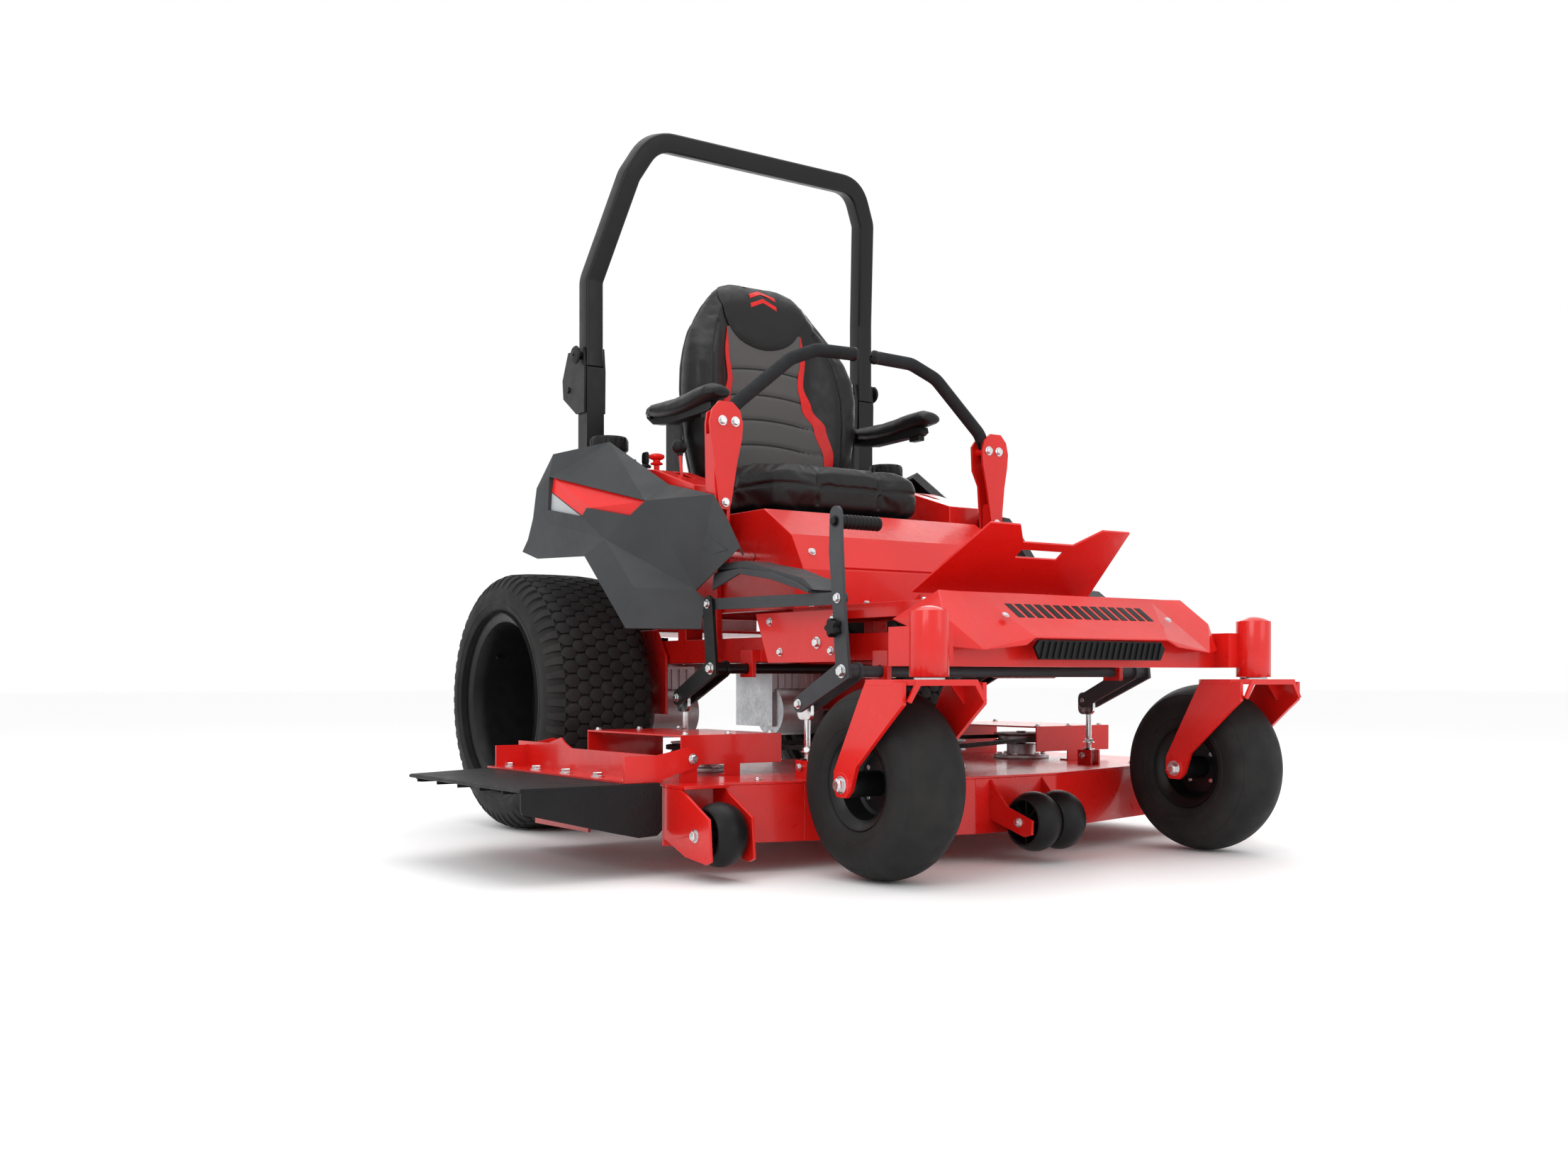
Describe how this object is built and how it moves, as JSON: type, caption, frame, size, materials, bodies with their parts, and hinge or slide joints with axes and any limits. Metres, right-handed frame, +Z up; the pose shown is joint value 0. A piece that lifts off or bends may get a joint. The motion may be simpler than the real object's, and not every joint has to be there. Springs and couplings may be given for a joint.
{
  "type": "riding lawn mower",
  "caption": "Zero-turn riding lawn mower with a side-discharge cutting deck, lap bars, a sprung-back seat and a folding roll bar.",
  "frame": {"origin": "middle of the bounding box's base, on the ground", "axes": "+Z up, +Y towards the machine's rear, +X towards its left side"},
  "size_m": [1.889, 2.1066, 1.832],
  "materials": {
    "red_paint": "gloss powder coat",
    "black_paint": "satin powder coat",
    "grey_paint": "textured satin powder coat",
    "grey_plastic": "fine moulded grain",
    "black_plastic": "textured moulding",
    "red_plastic": "gloss",
    "zinc_steel": "zinc plated",
    "bare_steel": "rolled",
    "cast_aluminium": "as cast",
    "tyre_rubber": "matt",
    "belt_rubber": "fabric backed",
    "seat_vinyl": "grained vinyl with a woven centre panel"
  },
  "bodies": {
    "chassis": {"main_frame": "red_paint", "front_axle": "red_paint", "nose_plate": "red_paint", "nose_inlay": "black_paint", "floor_pan": "red_paint", "foot_plate": "red_paint", "seat_pod": "red_paint", "fender_right": "grey_plastic", "fender_left": "grey_plastic", "rops_posts": "black_paint", "engine_block": "cast_aluminium", "engine_shroud": "black_paint", "muffler": "bare_steel", "rear_bumper": "black_paint", "transaxles": "cast_aluminium", "lift_springs": "zinc_steel", "frame_hardware": "zinc_steel"},
    "hoop": {"rops_hoop": "black_paint", "rops_lock_pins": "zinc_steel"},
    "engine_drive": {"drive_pulleys": "bare_steel"},
    "rear_wheel_right": {"rear_rim_right": "black_paint", "rear_tyre_right": "tyre_rubber"},
    "rear_wheel_left": {"rear_rim_left": "black_paint", "rear_tyre_left": "tyre_rubber"},
    "caster_right": {"caster_fork_right": "red_paint"},
    "caster_left": {"caster_fork_left": "red_paint"},
    "caster_wheel_right": {"caster_rim_right": "black_paint", "caster_tyre_right": "tyre_rubber"},
    "caster_wheel_left": {"caster_rim_left": "black_paint", "caster_tyre_left": "tyre_rubber"},
    "deck": {"deck_shell": "red_paint", "deck_brackets": "red_paint", "belt_covers": "red_paint", "spindle_housings": "cast_aluminium", "deck_belt": "belt_rubber", "deck_hardware": "zinc_steel"},
    "spindle_right": {"blade_right": "bare_steel"},
    "spindle_centre": {"blade_centre": "bare_steel"},
    "spindle_left": {"blade_left": "bare_steel"},
    "chute": {"chute_flap": "black_plastic", "chute_bracket": "red_paint"},
    "roller_right": {"scalp_roller_right": "black_plastic"},
    "rollers_centre": {"scalp_rollers_centre": "black_plastic"},
    "roller_left": {"scalp_roller_left": "black_plastic"},
    "front_lift": {"front_lift_crank": "grey_paint"},
    "rear_lift": {"rear_lift_crank": "black_paint"},
    "tie_bar": {"tie_bars": "grey_paint"},
    "lever_right": {"control_arm_right": "red_paint"},
    "lever_left": {"control_arm_left": "red_paint"},
    "lap_right": {"lap_bar_right": "red_paint"},
    "lap_left": {"lap_bar_left": "red_paint"},
    "seat": {"seat_base": "black_paint", "seat_cushion": "seat_vinyl", "seat_back": "seat_vinyl"},
    "arm_right": {"armrest_right": "black_plastic"},
    "arm_left": {"armrest_left": "black_plastic"},
    "key": {"key_switch": "black_plastic"},
    "pto": {"pto_knob": "red_plastic"},
    "throttle": {"throttle_lever": "red_paint"},
    "cap_right": {"fuel_cap_right": "black_plastic"},
    "cap_left": {"fuel_cap_left": "black_plastic"}
  },
  "joints": [
    {"name": "rear_wheel_right_spin", "type": "hinge", "parent": "chassis", "child": "rear_wheel_right", "pos_m": [-0.372, 0.488, 0.334], "axis": [1, 0, 0], "continuous": true},
    {"name": "rear_wheel_left_spin", "type": "hinge", "parent": "chassis", "child": "rear_wheel_left", "pos_m": [0.684, 0.488, 0.334], "axis": [1, 0, 0], "continuous": true},
    {"name": "caster_right_swivel", "type": "hinge", "parent": "chassis", "child": "caster_right", "pos_m": [-0.3135, -1, 0.45], "axis": [0, 0, 1], "continuous": true},
    {"name": "caster_left_swivel", "type": "hinge", "parent": "chassis", "child": "caster_left", "pos_m": [0.6255, -1, 0.45], "axis": [0, 0, 1], "continuous": true},
    {"name": "caster_wheel_right_spin", "type": "hinge", "parent": "caster_right", "child": "caster_wheel_right", "pos_m": [-0.3135, -0.863, 0.1905], "axis": [1, 0, 0], "continuous": true},
    {"name": "caster_wheel_left_spin", "type": "hinge", "parent": "caster_left", "child": "caster_wheel_left", "pos_m": [0.6255, -0.863, 0.1905], "axis": [1, 0, 0], "continuous": true},
    {"name": "deck_lift", "type": "hinge", "parent": "chassis", "child": "front_lift", "pos_m": [0.156, -0.7, 0.408], "axis": [1, 0, 0], "range_deg": [0, 34]},
    {"name": "rear_lift_turn", "type": "hinge", "parent": "chassis", "child": "rear_lift", "pos_m": [0.156, -0.195, 0.416], "axis": [1, 0, 0], "range_deg": [0, 34]},
    {"name": "tie_bar_pivot", "type": "hinge", "parent": "front_lift", "child": "tie_bar", "pos_m": [0.156, -0.685, 0.558], "axis": [1, 0, 0], "range_deg": [-34, 0]},
    {"name": "deck_rise", "type": "slide", "parent": "chassis", "child": "deck", "axis": [0, 0, 1], "range_m": [0, 0.09788]},
    {"name": "chute_fold", "type": "hinge", "parent": "deck", "child": "chute", "pos_m": [-0.56, -0.2, 0.231], "axis": [0, 1, 0], "range_deg": [0, 80]},
    {"name": "blade_right_spin", "type": "hinge", "parent": "deck", "child": "spindle_right", "pos_m": [-0.339, -0.235, 0.15], "axis": [0, 0, 1], "continuous": true},
    {"name": "blade_centre_spin", "type": "hinge", "parent": "deck", "child": "spindle_centre", "pos_m": [0.156, -0.465, 0.15], "axis": [0, 0, 1], "continuous": true},
    {"name": "blade_left_spin", "type": "hinge", "parent": "deck", "child": "spindle_left", "pos_m": [0.651, -0.235, 0.15], "axis": [0, 0, 1], "continuous": true},
    {"name": "engine_spin", "type": "hinge", "parent": "chassis", "child": "engine_drive", "pos_m": [0.156, 0.65, 0.42], "axis": [0, 0, 1], "continuous": true},
    {"name": "roller_right_spin", "type": "hinge", "parent": "deck", "child": "roller_right", "pos_m": [-0.574, -0.68, 0.09], "axis": [1, 0, 0], "continuous": true},
    {"name": "rollers_centre_spin", "type": "hinge", "parent": "deck", "child": "rollers_centre", "pos_m": [0.156, -0.83, 0.09], "axis": [1, 0, 0], "continuous": true},
    {"name": "roller_left_spin", "type": "hinge", "parent": "deck", "child": "roller_left", "pos_m": [0.886, -0.68, 0.09], "axis": [1, 0, 0], "continuous": true},
    {"name": "lever_right_drive", "type": "hinge", "parent": "chassis", "child": "lever_right", "pos_m": [-0.264, -0.1945, 0.68], "axis": [1, 0, 0], "range_deg": [-9, 18]},
    {"name": "lever_left_drive", "type": "hinge", "parent": "chassis", "child": "lever_left", "pos_m": [0.576, -0.1945, 0.68], "axis": [1, 0, 0], "range_deg": [-9, 18]},
    {"name": "lap_right_swing", "type": "hinge", "parent": "lever_right", "child": "lap_right", "pos_m": [-0.2665, -0.1945, 0.8], "axis": [0, 1, 0], "range_deg": [-20, 0]},
    {"name": "lap_left_swing", "type": "hinge", "parent": "lever_left", "child": "lap_left", "pos_m": [0.5785, -0.1945, 0.8], "axis": [0, 1, 0], "range_deg": [0, 20]},
    {"name": "hoop_fold", "type": "hinge", "parent": "chassis", "child": "hoop", "pos_m": [0.156, 0.47, 1.16], "axis": [1, 0, 0], "range_deg": [-110, 0]},
    {"name": "seat_slide", "type": "slide", "parent": "chassis", "child": "seat", "axis": [0, 1, 0], "range_m": [-0.06, 0.02]},
    {"name": "armrest_right_flip", "type": "hinge", "parent": "seat", "child": "arm_right", "pos_m": [-0.144, 0.262, 1.082], "axis": [1, 0, 0], "range_deg": [-75, 0]},
    {"name": "armrest_left_flip", "type": "hinge", "parent": "seat", "child": "arm_left", "pos_m": [0.456, 0.262, 1.082], "axis": [1, 0, 0], "range_deg": [-75, 0]},
    {"name": "key_turn", "type": "hinge", "parent": "chassis", "child": "key", "pos_m": [-0.244, 0.195, 0.93], "axis": [0, 0, 1], "range_deg": [-80, 0]},
    {"name": "pto_pull", "type": "slide", "parent": "chassis", "child": "pto", "axis": [0, 0, 1], "range_m": [0, 0.012]},
    {"name": "throttle_move", "type": "hinge", "parent": "chassis", "child": "throttle", "pos_m": [-0.236, 0.025, 0.862], "axis": [1, 0, 0], "range_deg": [-20, 20]},
    {"name": "fuel_cap_right_turn", "type": "hinge", "parent": "chassis", "child": "cap_right", "pos_m": [-0.298, 0.288, 0.98], "axis": [0, 0, 1], "range_deg": [0, 90]},
    {"name": "fuel_cap_left_turn", "type": "hinge", "parent": "chassis", "child": "cap_left", "pos_m": [0.61, 0.288, 0.98], "axis": [0, 0, 1], "range_deg": [0, 90]}
  ],
  "couplings": [
    {"joint": "deck_lift", "follows": "deck_rise", "rad_per_m": 6.0606},
    {"joint": "rear_lift_turn", "follows": "deck_rise", "rad_per_m": 6.0606},
    {"joint": "tie_bar_pivot", "follows": "deck_rise", "rad_per_m": -6.0606},
    {"joint": "blade_centre_spin", "follows": "engine_spin", "ratio": 1},
    {"joint": "blade_right_spin", "follows": "engine_spin", "ratio": 1},
    {"joint": "blade_left_spin", "follows": "engine_spin", "ratio": 1}
  ]
}
